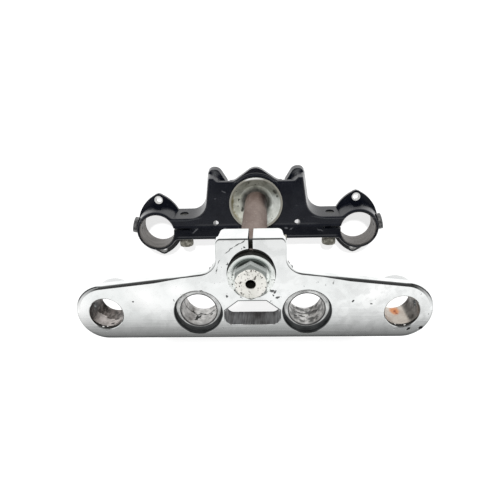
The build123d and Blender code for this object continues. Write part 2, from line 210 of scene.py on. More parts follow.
# %% [markdown]
# White panels stand left and right of the tent for the edges of the metal. What the camera itself sees
# behind the part is plain white, so the tent shows in mirror images only.

# %% Side panels and backdrop
panel_start, panel_full = 0.42, 0.62
panels = ranged(tree, join(tree, "ABSOLUTE", sky_x), panel_start, panel_full)
with_panels = tint(tree, panels, tone.outputs["Color"], (0.8, 0.8, 0.8))
seen_directly = tree.nodes.new("ShaderNodeLightPath").outputs["Is Camera Ray"]
put(tree, tint(tree, seen_directly, with_panels, (1, 1, 1)), tree.nodes["Background"].inputs["Color"])
bpy.context.scene.view_settings.view_transform = "Standard"
bpy.context.scene.view_settings.look = "None"
print("sky has", len(tree.nodes), "nodes")

# %% [markdown]
# ## Tools for finishes
# A finish starts as one metal or paint and is then broken up: cloudy patches, fine lines, pits and grime.
# Painted pictures could do that. Noise nodes need no files and no unwrapping, so they were chosen.
# Everything works on the part's own coordinates in metres, so a scale of 300 means grains of about three
# millimetres, and a mark has a real place on the part and stays there from any side.

# %% Noise and bumps
def new_finish(name):
    """A material with its tree, ready to be wired."""
    finish = bpy.data.materials.new(name)
    finish.use_nodes = True
    tree = finish.node_tree
    return finish, tree, tree.nodes["Principled BSDF"]


def spot(tree):
    """The place on the part, in metres."""
    return tree.nodes.new("ShaderNodeTexCoord").outputs["Object"]


def stretched(tree, at, scale):
    """The place, stretched, so that noise turns into streaks."""
    node = tree.nodes.new("ShaderNodeMapping")
    node.inputs["Scale"].default_value = scale
    tree.links.new(at, node.inputs["Vector"])
    return node.outputs["Vector"]


def cloud(tree, at, scale, low, high):
    """Noise that is 0 below low, 1 above high, and soft in between."""
    noise = tree.nodes.new("ShaderNodeTexNoise")
    noise.inputs["Scale"].default_value = scale
    noise.inputs["Detail"].default_value = 4.0
    noise.inputs["Roughness"].default_value = 0.55
    tree.links.new(at, noise.inputs["Vector"])
    return ranged(tree, noise.outputs["Fac"], low, high)


def blend(tree, share_of_second, first, second):
    """One value over another; each is a socket or a number."""
    mix = tree.nodes.new("ShaderNodeMix")
    tree.links.new(share_of_second, mix.inputs["Factor"])
    put(tree, first, mix.inputs[2])
    put(tree, second, mix.inputs[3])
    return mix.outputs[0]


def relief(tree, shader, *layers):
    """Bumps from layers of (mask, height in metres)."""
    total = None
    for mask, height in layers:
        layer = join(tree, "MULTIPLY", mask, height)
        total = layer if total is None else join(tree, "ADD", total, layer)
    bump = tree.nodes.new("ShaderNodeBump")
    bump.inputs["Strength"].default_value = 1.0
    bump.inputs["Distance"].default_value = 1.0
    tree.links.new(total, bump.inputs["Height"])
    tree.links.new(bump.outputs["Normal"], shader.inputs["Normal"])


print("finish tools", [tool.__name__ for tool in (new_finish, spot, stretched, cloud, blend, relief)])

# %% [markdown]
# Zones need geometry rather than noise: the inside of a bore, a wall, the part below a height. Separate
# materials on chosen faces could do it, but the meshes stay as they are, so a zone is a mask by place.
# A bore is every point closer to its axis than its radius. A band rises and falls along one coordinate.

# %% Zones
def rising(tree, value, start, full):
    """0 at the start, 1 at the full value."""
    return ranged(tree, value, start, full)


def falling(tree, value, full, end):
    """1 at the full value, 0 at the end."""
    return ranged(tree, value, full, end, 1.0, 0.0)


def all_of(tree, *masks):
    """1 where every mask is 1."""
    total = masks[0]
    for mask in masks[1:]:
        total = join(tree, "MULTIPLY", total, mask)
    return total


def any_of(tree, *masks):
    """1 where at least one mask is 1, or the largest of several values."""
    total = masks[0]
    for mask in masks[1:]:
        total = join(tree, "MAXIMUM", total, mask)
    return total


def band(tree, value, start, full, still, end):
    """1 from full to still, soft towards start and end."""
    return all_of(tree, rising(tree, value, start, full), falling(tree, value, still, end))


def line_at(tree, value, place, half):
    """1 on a soft line where a value reaches a place."""
    gap = join(tree, "ABSOLUTE", join(tree, "SUBTRACT", value, place))
    return falling(tree, gap, half * 0.3, half)


print("zone tools", [tool.__name__ for tool in (rising, falling, all_of, any_of, band, line_at)])

# %% [markdown]
# Some zones follow an axis, a slanting edge or the way a face looks. The part is the same left and right,
# so most zones are made once on a place that is folded over the middle.

# %% Places and directions
def place_from(tree, x, y, z):
    """A place put together from three coordinates."""
    node = tree.nodes.new("ShaderNodeCombineXYZ")
    for socket, value in zip(node.inputs, (x, y, z)):
        put(tree, value, socket)
    return node.outputs[0]


def mirrored(tree, at):
    """The place folded over the middle, so that left and right share one side."""
    x, y, z = axes_of(tree, at)
    return place_from(tree, join(tree, "ABSOLUTE", x), y, z)


def off_axis(tree, at, centre):
    """How far a place is from an upright axis."""
    x, y, _ = axes_of(tree, at)
    node = tree.nodes.new("ShaderNodeVectorMath")
    node.operation = "DISTANCE"
    tree.links.new(place_from(tree, x, y, 0.0), node.inputs[0])
    node.inputs[1].default_value = (*centre, 0)
    return node.outputs["Value"]


def inside(tree, at, centre, radius, soft=0.0002):
    """1 within a radius of an upright axis."""
    return falling(tree, off_axis(tree, at, centre), radius, radius + soft)


def beyond(tree, x, y, point, direction):
    """How far a place lies beyond an upright plane through a point."""
    steps = []
    for value, start, share in zip((x, y), point, direction):
        steps.append(join(tree, "MULTIPLY", join(tree, "SUBTRACT", value, start), share))
    return join(tree, "ADD", *steps)


def facing(tree):
    """The direction that the surface looks in, as three coordinates."""
    return axes_of(tree, tree.nodes.new("ShaderNodeNewGeometry").outputs["Normal"])


print("place tools", [tool.__name__ for tool in (mirrored, off_axis, inside, beyond, facing)])

# %% [markdown]
# A scratch, chip or stain is one mark: a small ball that is turned and stretched, in millimetres because
# marks are small. Its place is shaken by noise first, which tears its edge the way real damage does.

# %% Marks
def ragged(tree, at, scale, reach):
    """The place shaken by noise, so that marks get torn edges."""
    noise = tree.nodes.new("ShaderNodeTexNoise")
    noise.inputs["Scale"].default_value = scale
    noise.inputs["Detail"].default_value = 3.0
    tree.links.new(at, noise.inputs["Vector"])
    centred = tree.nodes.new("ShaderNodeVectorMath")
    centred.operation = "SUBTRACT"
    tree.links.new(noise.outputs["Color"], centred.inputs[0])
    centred.inputs[1].default_value = (0.5, 0.5, 0.5)
    shaken = tree.nodes.new("ShaderNodeVectorMath")
    shaken.operation = "MULTIPLY_ADD"
    tree.links.new(centred.outputs[0], shaken.inputs[0])
    shaken.inputs[1].default_value = (reach, reach, reach)
    tree.links.new(at, shaken.inputs[2])
    return shaken.outputs[0]


def mark(tree, at, centre, size, turn=0.0, soft=0.4):
    """One mark: centre and half sizes in millimetres, turned by degrees about the upright axis."""
    node = tree.nodes.new("ShaderNodeMapping")
    node.vector_type = "TEXTURE"
    node.inputs["Location"].default_value = [value / 1000 for value in centre]
    node.inputs["Rotation"].default_value = (0, 0, math.radians(turn))
    node.inputs["Scale"].default_value = [value / 1000 for value in size]
    tree.links.new(at, node.inputs["Vector"])
    length = tree.nodes.new("ShaderNodeVectorMath")
    length.operation = "LENGTH"
    tree.links.new(node.outputs["Vector"], length.inputs[0])
    return falling(tree, length.outputs["Value"], 1.0 - soft, 1.0)


def flat_marks(tree, at, level, depth, soft, rows):
    """Marks on a flat face at a level in metres; a row is x, y, half length, half width and turn."""
    level_mm = 1000 * level
    return any_of(tree, *[
        mark(tree, at, (x, y, level_mm), (long, wide, depth), turn, soft)
        for x, y, long, wide, turn in rows
    ])


print("mark tools", [tool.__name__ for tool in (ragged, mark, flat_marks)])

# %% [markdown]
# ## Upper clamp
# The casting is polished where a rider sees it. The front wall and the bosses below are only satin, and the
# holes, the window and the underside were never polished. One material covers the whole casting and finds
# these zones by their place, so the solid needs no cuts between finishes.

# %% Holes of the upper clamp
polish, tree, metal = new_finish("worn_polish")
at = spot(tree)
pair = mirrored(tree, at)
torn = ragged(tree, at, 420, 0.0022)
across, along, height = axes_of(tree, at)
side = axes_of(tree, pair)[0]
top_face, fork_spot, riser_spot, stem_spot = 0.1925, (0.121, -0.0357), (0.04445, -0.0349), (0, 0)
below_top = falling(tree, height, top_face - 0.0005, top_face - 0.0002)
below_rim = falling(tree, height, top_face - 0.0001, top_face - 0.00005)
fork_bore = inside(tree, pair, fork_spot, 0.0141)
riser_bore = all_of(tree, inside(tree, pair, riser_spot, 0.0196), below_top)
stem_hole = all_of(tree, below_rim, inside(tree, at, stem_spot, 0.0203))
window = all_of(
    tree,
    below_top,
    falling(tree, side, 0.0228, 0.0230),
    band(tree, along, -0.0470, -0.0468, -0.0243, -0.0241),
)
slot = all_of(tree, below_top, falling(tree, side, 0.0019, 0.0020), rising(tree, along, 0, 0.001))
print("holes of the upper clamp take", len(tree.nodes), "nodes")

# %% [markdown]
# The bosses hang below the arms, so their height finds them. The front wall and the underside are found by
# the way they face, because their places would need a long list of edges.

# %% Satin and raw faces
_, facing_rear, facing_up = facing(tree)
raw = falling(tree, facing_up, -0.6, -0.4)
front_wall = falling(tree, facing_rear, -0.7, -0.4)
bosses = all_of(tree, falling(tree, height, 0.1860, 0.1864), rising(tree, side, 0.0285, 0.029))
satin = any_of(tree, bosses, front_wall)
print("unpolished faces bring it to", len(tree.nodes), "nodes")

# %% [markdown]
# The polish is bright but not clean. Oxide makes it cloudy, a cloth left smears, and three patches stayed
# bright; the fourth, at the left tip, is a painted highlight. Roughness alone would blur the mirror, so most
# of the cloudiness is a change of tone.

# %% Cloudy polish
haze = cloud(tree, at, 34, 0.42, 0.66)
smears = cloud(tree, ragged(tree, at, 60, 0.02), 75, 0.46, 0.58)
# Three bright patches are clean polish; the last one, at the left tip, is a painted highlight
bright_patches_and_tip_highlight = flat_marks(tree, torn, top_face, 9, 0.9, [
    (-86, -20, 24, 17, -40), (99, -18, 22, 12, 20), (-60, -14, 12, 9, 0), (-142, -34, 14, 24, 0),
])
right_smudges = all_of(tree, rising(tree, across, 0.052, 0.075), cloud(tree, torn, 150, 0.50, 0.60))
shine = tint(tree, haze, (0.88, 0.895, 0.89), (0.80, 0.822, 0.815))
shine = tint(tree, join(tree, "MULTIPLY", smears, 0.55), shine, (0.73, 0.745, 0.74))
shine = tint(tree, bright_patches_and_tip_highlight, shine, (0.985, 0.99, 0.985))
shine = tint(tree, join(tree, "MULTIPLY", right_smudges, 0.5), shine, (0.70, 0.712, 0.708))
satin_tone = tint(tree, haze, (0.66, 0.67, 0.67), (0.585, 0.597, 0.595))
shine = tint(tree, satin, shine, satin_tone)
print("polish brings it to", len(tree.nodes), "nodes")

# %% [markdown]
# Tools have slipped near the stem and left scratches, stones have left pits, and two chips are broken from
# the front edge beside the right fork hole. Modelled cuts would change the solid, so each one is a mark,
# and the scratches and pits get a small bump later.

# %% Scratches, pits and chips
scratches = flat_marks(tree, torn, top_face, 3, 0.8, [
    (-16.4, 20.2, 5.4, 0.45, 38), (-10.0, 24.6, 4.0, 0.6, 30), (-5.4, 27.6, 2.6, 0.6, 38),
    (-27.2, 3.6, 4.4, 0.4, 76), (-25.2, 10.4, 2.6, 0.45, 68),
])
large_pits = flat_marks(tree, torn, top_face, 3, 0.4, [
    (16.2, -15.6, 2.6, 0.9, 0), (18.6, -16.8, 1.0, 2.0, -20), (20.6, -21.6, 2.2, 0.9, 20),
    (17.0, -19.8, 0.9, 1.0, 0), (-96.9, -24.2, 1.2, 0.9, 0), (80.8, -25.3, 1.3, 0.7, 40),
    (95.7, -28.2, 1.1, 0.8, 0),
])
small_pits = all_of(
    tree,
    cloud(tree, at, 210, 0.66, 0.70),
    cloud(tree, at, 30, 0.5, 0.6),
    rising(tree, height, top_face - 0.0003, top_face - 0.0001),
)
pits = any_of(tree, large_pits, small_pits)
chips = any_of(
    tree,
    mark(tree, torn, (127.3, -51.5, 192.5), (2.6, 1.5, 4), 35),
    mark(tree, torn, (137.1, -50.8, 191.8), (2.6, 2.2, 4), 20),
)
shine = tint(tree, scratches, shine, (0.30, 0.31, 0.31))
shine = tint(tree, pits, shine, (0.26, 0.27, 0.27))
print("damage brings it to", len(tree.nodes), "nodes")

# %% [markdown]
# A thin dark line is painted along the rear of the window as the dark reflection of its edge, and painted
# shade runs round the front of the riser holes. The window has cut corners, so its line follows the largest
# of three distances: past the rear wall, past the corner and past the side wall.

# %% Dark rims of the window and the riser holes
near_top = rising(tree, height, top_face - 0.0011, top_face - 0.0008)
window_rear, window_half, corner_x, corner_direction = -0.0245, 0.0226, 0.0114, (0.618, 0.7865)
past_window = any_of(
    tree,
    join(tree, "SUBTRACT", along, window_rear),
    beyond(tree, side, along, (corner_x, window_rear), corner_direction),
    join(tree, "SUBTRACT", side, window_half),
)
window_rim = all_of(
    tree,
    band(tree, past_window, 0.0, 0.0001, 0.0006, 0.0009),
    rising(tree, along, -0.044, -0.040),
)
from_riser = off_axis(tree, pair, riser_spot)
riser_rim = all_of(
    tree,
    band(tree, from_riser, 0.0195, 0.0196, 0.0200, 0.0204),
    rising(tree, along, -0.018, -0.030),
)
# Painted dark reflection at the window's rear edge and painted shade at the front of the riser holes
rims = all_of(tree, near_top, any_of(tree, window_rim, riser_rim))
shine = tint(tree, rims, shine, (0.10, 0.102, 0.104))
print("rims bring it to", len(tree.nodes), "nodes")

# %% [markdown]
# A painted dark reflection fades along the front edge of the top, and a fine line of painted dark reflection
# runs round the rear of each arm's end. Both follow the outline of the arm, which is a straight front wall
# and a round end.

# %% Front edge and arm ends
end_centre, end_reach, front_y = (0.121, -0.0346), 0.0248, -0.0594
from_end = join(tree, "SUBTRACT", end_reach, off_axis(tree, pair, end_centre))
past_end = rising(tree, side, end_centre[0], end_centre[0] + 0.001)
from_front = blend(tree, past_end, join(tree, "SUBTRACT", along, front_y), from_end)
front_edge_reflection = all_of(
    tree,
    near_top,
    ranged(tree, from_front, 0.0, 0.0036, 0.65, 0.0),
    rising(tree, along, -0.044, -0.054),
)
tip_edge_reflection = all_of(
    tree,
    near_top,
    rising(tree, side, 0.122, 0.126),
    rising(tree, along, -0.028, -0.021),
    falling(tree, from_end, 0.0008, 0.0016),
)
# Painted dark reflection along the front edge of the top
shine = tint(tree, front_edge_reflection, shine, (0.16, 0.163, 0.166))
# Painted dark reflection round the rear of each arm's end
shine = tint(tree, tip_edge_reflection, shine, (0.06, 0.061, 0.062))
shine = tint(tree, chips, shine, (0.012, 0.012, 0.012))
print("edges bring it to", len(tree.nodes), "nodes")

# %% [markdown]
# The fork holes have carried dirt for years. The left one is dark brown below a torn line and towards the
# rear, and the right one is tan, with painted shade on its outer side. Noise alone would look even, so the
# torn line is the height itself, shaken by strong noise.

# %% Walls of the fork holes
wild = ragged(tree, at, 190, 0.011)
torn_height = axes_of(tree, wild)[2]
blotches = cloud(tree, at, 190, 0.42, 0.62)
streaks = cloud(tree, stretched(tree, at, (1, 1, 0.4)), 420, 0.52, 0.60)
# Darker below a torn line and towards the rear of the left hole
left_dark_zone = any_of(tree, falling(tree, torn_height, 0.1768, 0.1776), rising(tree, along, -0.0435, -0.041))
left_wall = tint(tree, blotches, (0.56, 0.515, 0.49), (0.33, 0.305, 0.29))
left_dark_tone = tint(tree, blotches, (0.10, 0.086, 0.078), (0.026, 0.022, 0.02))
left_dark_tone = tint(tree, streaks, left_dark_tone, (0.17, 0.148, 0.137))
left_wall = tint(tree, left_dark_zone, left_wall, left_dark_tone)
right_wall = tint(tree, blotches, (0.56, 0.515, 0.46), (0.47, 0.42, 0.37))
# Painted shade on the outer side of the right hole
right_outer_shade = tint(tree, blotches, (0.22, 0.21, 0.195), (0.09, 0.083, 0.077))
right_wall = tint(tree, rising(tree, across, 0.1282, 0.1300), right_wall, right_outer_shade)
left_half = falling(tree, across, -0.001, 0.001)
fork_colour = tint(tree, left_half, right_wall, left_wall)
print("stains bring it to", len(tree.nodes), "nodes")

# %% [markdown]
# A dark band under the rim is a painted reflection of the rim's chamfer, the mouths of the set-screw holes
# get painted shade, and there is one black spot. A few painted highlights stand for glints, and one spot in
# the right hole has rusted through to red. They are single things, so each one is a mark.

# %% Dark bands, painted glints and rust in the fork holes
# Painted reflection under the rim, painted shade in the set-screw mouths, and one black spot
rim_band_limit = ranged(tree, along, -0.0497, -0.0370, 0.1880, 0.1920)
painted_darks_and_black_spot = any_of(
    tree,
    rising(tree, join(tree, "SUBTRACT", height, rim_band_limit), 0.0, 0.0004),
    mark(tree, torn, (-119.8, -49.6, 184.6), (1.7, 3, 1.6)),
    mark(tree, torn, (-134.9, -36.1, 177.0), (3, 2.2, 6)),
    mark(tree, torn, (134.9, -36.1, 178.0), (3, 2.0, 6)),
)
# Painted highlights for glints in the fork holes
glints = any_of(
    tree,
    mark(tree, at, (117.1, -49.1, 189.2), (0.9, 1, 0.9)),
    mark(tree, at, (124.6, -49.2, 190.3), (0.9, 1, 0.9)),
    mark(tree, at, (-126.0, -48.7, 190.5), (1.2, 1, 0.9)),
    mark(tree, at, (-122.9, -49.5, 188.9), (0.8, 1, 0.8)),
    mark(tree, torn, (-112.4, -46.6, 182.0), (0.9, 1, 2.0)),
)
rust_spot = mark(tree, torn, (122.0, -49.6, 167.4), (5.2, 3, 8.0), 0, 0.5)
rust_heart = mark(tree, wild, (123.0, -49.5, 170.0), (2.6, 3, 3.6), 0, 0.6)
fork_colour = tint(tree, painted_darks_and_black_spot, fork_colour, (0.016, 0.015, 0.013))
fork_colour = tint(tree, glints, fork_colour, (0.95, 0.95, 0.93))
fork_colour = tint(tree, rust_spot, fork_colour, (0.58, 0.24, 0.10))
fork_colour = tint(tree, rust_heart, fork_colour, (0.24, 0.045, 0.02))
print("fork holes bring it to", len(tree.nodes), "nodes")

# %% [markdown]
# The riser holes are grey with black grease, and the right one is darker low down. Each has a wide step
# below the top, where the bush's collar sat: the collar kept a ring of it bright, and the front of the step
# is dark. The step is part of the solid, so the finish only needs its level.

# %% Riser holes
riser_colour = tint(tree, blotches, (0.62, 0.61, 0.595), (0.36, 0.355, 0.345))
grease_line = band(tree, torn_height, 0.1700, 0.1706, 0.1718, 0.1724)
grease = any_of(tree, cloud(tree, at, 150, 0.60, 0.64), grease_line)
above_step = join(tree, "SUBTRACT", height, top_face - 0.0040)
bore_rim = all_of(
    tree,
    rising(tree, above_step, -0.0017, -0.0009),
    falling(tree, from_riser, 0.0154, 0.0157),
)
behind_riser = (riser_spot[0], riser_spot[1] + 0.0026)
front_crescent = rising(tree, off_axis(tree, pair, behind_riser), 0.0178, 0.0186)
front_step = all_of(tree, rising(tree, above_step, -0.0005, 0.0001), front_crescent)
seat_level = band(tree, above_step, -0.0005, -0.0001, 0.0002, 0.0004)
seat_ring = all_of(tree, rising(tree, from_riser, 0.0155, 0.0157), seat_level)
seat_colour = tint(tree, blotches, (0.82, 0.83, 0.82), (0.60, 0.61, 0.60))
right_shade = all_of(tree, rising(tree, across, 0, 0.001), rising(tree, height, 0.186, 0.184), blotches)
riser_colour = tint(tree, grease, riser_colour, (0.03, 0.03, 0.028))
riser_colour = tint(tree, bore_rim, riser_colour, (0.09, 0.09, 0.09))
riser_colour = tint(tree, front_step, riser_colour, (0.045, 0.048, 0.05))
riser_colour = tint(tree, seat_ring, riser_colour, seat_colour)
riser_colour = tint(tree, all_of(tree, seat_ring, front_crescent), riser_colour, (0.06, 0.063, 0.064))
riser_colour = tint(tree, right_shade, riser_colour, (0.12, 0.12, 0.117))
print("riser holes bring it to", len(tree.nodes), "nodes")

# %% [markdown]
# The window was left as cast, with upright lines from the mould, and it grows darker towards the bottom. The
# slot and the bore round the stem are painted black as shade. Then the zones are laid over the polish one by
# one. Bare metal in the holes is duller, and dirt and painted shade are hardly metal at all, so metal and
# roughness follow the same masks.

# %% Put the upper clamp together
mould_lines = cloud(tree, stretched(tree, at, (900, 900, 60)), 1.0, 0.4, 0.65)
window_colour = tint(tree, mould_lines, (0.19, 0.193, 0.196), (0.085, 0.087, 0.09))
# The window wall grows darker towards the bottom
window_darker_low = ranged(tree, torn_height, 0.168, 0.180, 0.75, 0.0)
window_colour = tint(tree, window_darker_low, window_colour, (0.03, 0.031, 0.032))
# Painted shade in the pinch slot and in the bore round the stem
painted_gap_shade = any_of(tree, slot, stem_hole)
skin = tint(tree, fork_bore, shine, fork_colour)
skin = tint(tree, riser_bore, skin, riser_colour)
skin = tint(tree, window, skin, window_colour)
skin = tint(tree, painted_gap_shade, skin, (0.018, 0.018, 0.017))
skin = tint(tree, raw, skin, (0.30, 0.305, 0.31))
put(tree, skin, metal.inputs["Base Color"])
bare = any_of(tree, fork_bore, riser_bore, window)
dirt_and_gap_shade = any_of(tree, painted_gap_shade, chips, all_of(tree, bare, cloud(tree, at, 90, 0.3, 0.7)))
put(tree, ranged(tree, dirt_and_gap_shade, 0, 1, 1.0, 0.25), metal.inputs["Metallic"])
dull = join(tree, "ADD", ranged(tree, haze, 0, 1, 0.035, 0.065), ranged(tree, smears, 0, 1, 0, 0.025))
dull = blend(tree, satin, dull, 0.24)
dull = blend(tree, any_of(tree, bare, scratches, pits), dull, 0.36)
dull = blend(tree, any_of(tree, painted_gap_shade, chips, raw), dull, 0.7)
put(tree, dull, metal.inputs["Roughness"])
metal.inputs["Specular IOR Level"].default_value = 0.1
print("all zones bring it to", len(tree.nodes), "nodes")

# %% [markdown]
# The long rear edges of the arms were rounded off wider than the rest by years of polishing. The rounding is
# shallow, so a bump that falls towards the edge is enough: it turns the mirror from the white strip to the
# dark tent. Fine polishing lines, the damage and the grain of bare metal are bumps as well.

# %% Rounded arm edges
arm_turn, arm_tip = math.radians(6.7), (0.12389, -0.00997)
inward = (-math.sin(arm_turn), -math.cos(arm_turn))
from_edge = blend(tree, past_end, beyond(tree, side, along, arm_tip, inward), from_end)
narrower_inside = ranged(tree, side, 0.046, 0.078, 0.0024, 0.0)
edge_fall = all_of(
    tree,
    falling(tree, join(tree, "ADD", from_edge, narrower_inside), 0.0013, 0.0031),
    rising(tree, side, 0.046, 0.050),
    rising(tree, along, -0.034, -0.024),
)
polish_lines = cloud(tree, stretched(tree, at, (14, 420, 420)), 1.0, 0.5, 0.8)
grain = cloud(tree, at, 900, 0.3, 0.7)
relief(
    tree,
    metal,
    (edge_fall, -0.00034),
    (polish_lines, 0.000003),
    (any_of(tree, scratches, pits), -0.00004),
    (all_of(tree, any_of(tree, bare, raw), grain), 0.00005),
)
print("upper clamp finish has", len(tree.nodes), "nodes")

# %% [markdown]
# ## Lower clamp
# Black paint over a casting. Flat faces mirror the dark sky, walls mirror the light table. The paint is a
# little mottled, darker on the front strip, and scuffed where cables and tools rubbed. A flat black would
# look like plastic, so two blacks, scuffs listed one by one and scuffs by noise share the work.

# %% Black paint
black_paint, tree, paint = new_finish("black_paint")
at = spot(tree)
pair = mirrored(tree, at)
torn = ragged(tree, at, 380, 0.003)
_, along, height = axes_of(tree, at)
side = axes_of(tree, pair)[0]
lower_top = -0.0015
on_top = rising(tree, height, lower_top - 0.0015, lower_top - 0.0007)
front_strip = all_of(tree, on_top, rising(tree, along, -0.030, -0.033))
mottle = cloud(tree, at, 60, 0.4, 0.7)
rubbed = flat_marks(tree, torn, lower_top, 3, 0.8, [
    (-74.6, -35.4, 6.0, 1.1, 40), (35.2, -33.3, 3.0, 1.3, 0), (41.1, -34.2, 3.4, 1.0, 30),
    (-38.1, -32.7, 2.4, 1.0, 0), (75.8, -36.5, 5.0, 0.9, -20),
])
scuffs = any_of(
    tree,
    rubbed,
    all_of(tree, cloud(tree, at, 130, 0.66, 0.74), cloud(tree, at, 22, 0.5, 0.62)),
)
coat = tint(tree, mottle, (0.0032, 0.0040, 0.0072), (0.0048, 0.0058, 0.0100))
coat = tint(tree, front_strip, coat, (0.0018, 0.0024, 0.0048))
coat = tint(tree, scuffs, coat, (0.085, 0.088, 0.095))
print("black paint takes", len(tree.nodes), "nodes")

# %% [markdown]
# Thin pale lines of painted highlight run along the beads at the arms' edges and along a small step, and
# painted highlights light the hub's rear edge and a patch on each horn. The beads are too fine to change the
# outline, so they are lines in the paint.

# %% Painted highlights on beads and edges
# Painted highlights along the beads of the arms and along a small step
bead_y = ranged(tree, side, 0.066, 0.082, -0.0190, -0.0220)
rear_edge_highlight = all_of(tree, line_at(tree, along, bead_y, 0.0010), rising(tree, side, 0.064, 0.070))
front_edge_highlight = all_of(tree, line_at(tree, along, -0.0432, 0.0009), falling(tree, side, 0.094, 0.098))
step_highlight = all_of(tree, line_at(tree, along, -0.0280, 0.0018), falling(tree, side, 0.066, 0.076))
for line, highlight_tone in (
    (rear_edge_highlight, (0.026, 0.028, 0.032)),
    (front_edge_highlight, (0.038, 0.040, 0.044)),
    (step_highlight, (0.016, 0.017, 0.021)),
):
    coat = tint(tree, all_of(tree, on_top, line), coat, highlight_tone)
from_stem = off_axis(tree, at, stem_spot)
hub_ring = band(tree, from_stem, 0.0328, 0.0332, 0.0336, 0.0340)
# Painted highlights on the hub's rear edge and on a patch of each horn
hub_edge_highlight = all_of(tree, hub_ring, rising(tree, along, 0.020, 0.026))
horn_highlight = mark(tree, ragged(tree, pair, 200, 0.002), (48.5, 31.0, -18.0), (8.0, 3.4, 9.0), 30, 0.6)
painted_highlight_tone = (0.060, 0.062, 0.066)
coat = tint(tree, hub_edge_highlight, coat, painted_highlight_tone)
coat = tint(tree, horn_highlight, coat, painted_highlight_tone)
print("worn edges bring it to", len(tree.nodes), "nodes")

# %% [markdown]
# The fork rings are bare inside, where the tubes were clamped, and so are the small lands round the ear
# holes. The front strip falls away by a hair, which a bump shows in its reflection. Paint is never quite
# flat, so it also gets a faint orange peel.

# %% Put the lower clamp together
ring_bore = inside(tree, pair, fork_spot, 0.0212)
ear_reach, land_radius = 0.0325, 0.0050
ear_spots = [(fork_spot[0], fork_spot[1] + step) for step in (ear_reach, -ear_reach)]
ear_lands = any_of(tree, *[inside(tree, pair, ear_spot, land_radius) for ear_spot in ear_spots])
brushed = cloud(tree, stretched(tree, at, (60, 60, 900)), 1.0, 0.35, 0.65)
ring_colour = tint(tree, brushed, (0.22, 0.206, 0.195), (0.095, 0.089, 0.084))
coat = tint(tree, ear_lands, coat, (0.50, 0.50, 0.49))
put(tree, tint(tree, ring_bore, coat, ring_colour), paint.inputs["Base Color"])
put(tree, ranged(tree, ring_bore, 0, 1, 0.0, 0.75), paint.inputs["Metallic"])
gloss = ranged(tree, mottle, 0, 1, 0.2, 0.3)
matt = any_of(tree, ring_bore, ear_lands, scuffs)
put(tree, blend(tree, matt, gloss, 0.45), paint.inputs["Roughness"])
orange_peel = cloud(tree, at, 420, 0.3, 0.7)
front_lean = rising(tree, along, -0.0290, -0.0470)
relief(tree, paint, (orange_peel, 0.000006), (brushed, 0.00001), (scuffs, 0.00002), (front_lean, 0.0010))
print("lower clamp finish has", len(tree.nodes), "nodes")

# %% [markdown]
# ## Stem
# The steel tube has an even skin of thin brown rust with darker and paler specks, and one dark patch on the
# right side of its foot. Rust is an oxide and hardly shines like metal, so the finish is mostly not
# metallic.

# %% Rust on the stem
rust, tree, steel = new_finish("rusty_steel")
at = spot(tree)
patches = cloud(tree, stretched(tree, at, (60, 60, 26)), 1.0, 0.38, 0.66)
pale_specks = cloud(tree, at, 420, 0.66, 0.7)
dark_specks = cloud(tree, at, 900, 0.55, 0.7)
# A dark patch on the right side of the stem's foot
dark_foot_patch = mark(tree, ragged(tree, at, 260, 0.005), (12.7, 6.0, 10.0), (11.5, 14.0, 44.0), 0, 0.5)
brown = tint(tree, patches, (0.195, 0.152, 0.132), (0.128, 0.093, 0.078))
brown = tint(tree, pale_specks, brown, (0.42, 0.38, 0.35))
brown = tint(tree, dark_specks, brown, (0.11, 0.075, 0.06))
brown = tint(tree, dark_foot_patch, brown, (0.022, 0.013, 0.011))
put(tree, brown, steel.inputs["Base Color"])
put(tree, ranged(tree, dark_foot_patch, 0, 1, 0.2, 0.0), steel.inputs["Metallic"])
put(tree, ranged(tree, patches, 0, 1, 0.42, 0.62), steel.inputs["Roughness"])
steel.inputs["Specular IOR Level"].default_value = 0.15
relief(tree, steel, (dark_specks, 0.00003), (patches, 0.00002))
print("stem finish has", len(tree.nodes), "nodes")

# %% [markdown]
# ## Shield
# The dished shield at the foot of the stem is zinc plated. The plate has aged differently all round: pale on
# both sides and olive at the left edge, and painted shade darkens the rear wall of the dish. Each region is
# a pair of tones that share one stain pattern, so the regions run into each other as the real ones do.

# %% Zinc plate of the shield
zinc, tree, plate = new_finish("mottled_zinc")
at = spot(tree)
torn = ragged(tree, at, 240, 0.006)
across, along, height = axes_of(tree, at)
radius = off_axis(tree, torn, stem_spot)
stains = cloud(tree, at, 95, 0.42, 0.6)
pale_left = all_of(tree, rising(tree, across, -0.012, -0.018), rising(tree, along, 0.016, 0.008))
olive_left = all_of(tree, rising(tree, across, -0.014, -0.024), rising(tree, radius, 0.0255, 0.0275))
# Painted shade on the rear wall of the dish
rear_wall_shade = all_of(tree, rising(tree, along, 0.006, 0.016), rising(tree, radius, 0.014, 0.017))
pale_right = all_of(tree, rising(tree, across, 0.012, 0.020), rising(tree, along, 0.010, 0.003))
oil_radius = off_axis(tree, ragged(tree, at, 130, 0.005), stem_spot)
oily = falling(tree, oil_radius, 0.0152, 0.0208)
aged = tint(tree, stains, (0.55, 0.58, 0.54), (0.30, 0.315, 0.28))
for region, clean_tone, stained_tone in (
    (pale_left, (0.74, 0.76, 0.68), (0.46, 0.47, 0.40)),
    (olive_left, (0.30, 0.275, 0.17), (0.17, 0.155, 0.09)),
    (rear_wall_shade, (0.36, 0.37, 0.32), (0.20, 0.205, 0.17)),
    (pale_right, (0.86, 0.89, 0.85), (0.68, 0.71, 0.66)),
    (oily, (0.10, 0.10, 0.088), (0.045, 0.046, 0.04)),
):
    aged = tint(tree, region, aged, tint(tree, stains, clean_tone, stained_tone))
print("zinc plate takes", len(tree.nodes), "nodes")

# %% [markdown]
# Black spots have eaten through the plate, and the thin rim catches the light at the rear. The rim is the
# highest part of the dish, so its height alone finds it.

